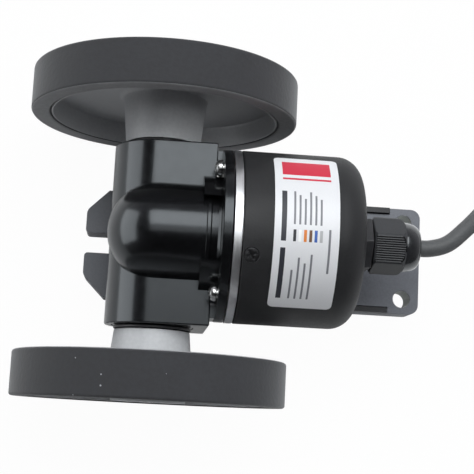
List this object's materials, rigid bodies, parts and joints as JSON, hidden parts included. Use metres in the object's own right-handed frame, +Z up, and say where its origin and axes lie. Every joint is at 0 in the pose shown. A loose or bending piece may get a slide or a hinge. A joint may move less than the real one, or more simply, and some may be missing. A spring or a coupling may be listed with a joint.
{
  "type": "rotary encoder",
  "caption": "Wheel-type rotary encoder: measuring wheels on one axle drive a sealed optical encoder through crossed helical gears, on a slotted mounting bracket, with a glanded cable.",
  "frame": {"origin": "middle of the bracket's flat mounting face", "axes": "+X along the encoder towards the cable, +Y along the wheel axle, +Z up from the mounting face"},
  "size_m": [0.2498, 0.097, 0.0796],
  "materials": {
    "gloss_black": "gloss moulding",
    "satin_black": "satin black coat",
    "black_nylon": "moulded nylon",
    "grey_cast": "satin dark grey coat on a casting",
    "hub_grey": "moulded, light grey",
    "tyre_rubber": "ground rubber",
    "black_rubber": "soft rubber",
    "cable_jacket": "extruded jacket",
    "bright_steel": "ground or plated steel",
    "aluminium": "turned",
    "brass": "machined",
    "foil": null,
    "board_green": "solder resist",
    "disc_film": "film disc with radial lines",
    "white_nylon": "moulded nylon",
    "lead_cores": "insulated cores"
  },
  "bodies": {
    "frame": {"axle_bearing_left_outer_race": "bright_steel", "axle_bearing_right_outer_race": "bright_steel", "base_screw_1": "bright_steel", "base_screw_2": "bright_steel", "base_screw_3": "bright_steel", "base_screw_4": "bright_steel", "bearing_cap_left": "gloss_black", "bearing_cap_right": "gloss_black", "board_carrier": "white_nylon", "bracket": "grey_cast", "cable": "cable_jacket", "cable_coil": "cable_jacket", "cable_entry": "cable_jacket", "circuit_board": "board_green", "coil_tie": "black_nylon", "cover": "satin_black", "cover_screw_1": "bright_steel", "cover_screw_2": "bright_steel", "cover_screw_3": "bright_steel", "cover_seal": "black_rubber", "cradle": "satin_black", "encoder_body": "aluminium", "flange_screw_1": "bright_steel", "flange_screw_2": "bright_steel", "flange_screw_3": "bright_steel", "gear_housing": "gloss_black", "gland_body": "black_nylon", "gland_bush": "black_rubber", "gland_locknut": "black_nylon", "gland_nut": "black_nylon", "inner_leads": "lead_cores", "label_plate": "foil", "lead_header": "white_nylon", "light_detector": "black_nylon", "light_source": "white_nylon", "nose_bearing_outer_race": "bright_steel", "rear_bearing_outer_race": "bright_steel", "stripped_leads": "lead_cores"},
    "wheel_set": {"wheel_axle": "bright_steel", "wheel_hub_left": "hub_grey", "wheel_hub_right": "hub_grey", "tyre_left": "tyre_rubber", "tyre_right": "tyre_rubber", "dust_disc_left": "black_nylon", "dust_disc_right": "black_nylon", "axle_screw_left": "bright_steel", "axle_screw_right": "bright_steel", "axle_gear": "brass", "axle_gear_pin": "bright_steel", "axle_bearing_left_inner_race": "bright_steel", "axle_bearing_right_inner_race": "bright_steel"},
    "encoder_rotor": {"encoder_shaft": "bright_steel", "encoder_gear": "white_nylon", "encoder_gear_pin": "bright_steel", "nose_bearing_inner_race": "bright_steel", "rear_bearing_inner_race": "bright_steel", "disc_hub": "aluminium", "code_disc": "disc_film"}
  },
  "joints": [
    {"name": "axle_spin", "type": "hinge", "parent": "frame", "child": "wheel_set", "pos_m": [-0.0305, 0, 0.027], "axis": [0, 1, 0], "continuous": true},
    {"name": "encoder_spin", "type": "hinge", "parent": "frame", "child": "encoder_rotor", "pos_m": [-0.0305, 0, 0.0365], "axis": [1, 0, 0], "continuous": true}
  ],
  "couplings": [
    {"joint": "encoder_spin", "follows": "axle_spin", "ratio": -1}
  ]
}
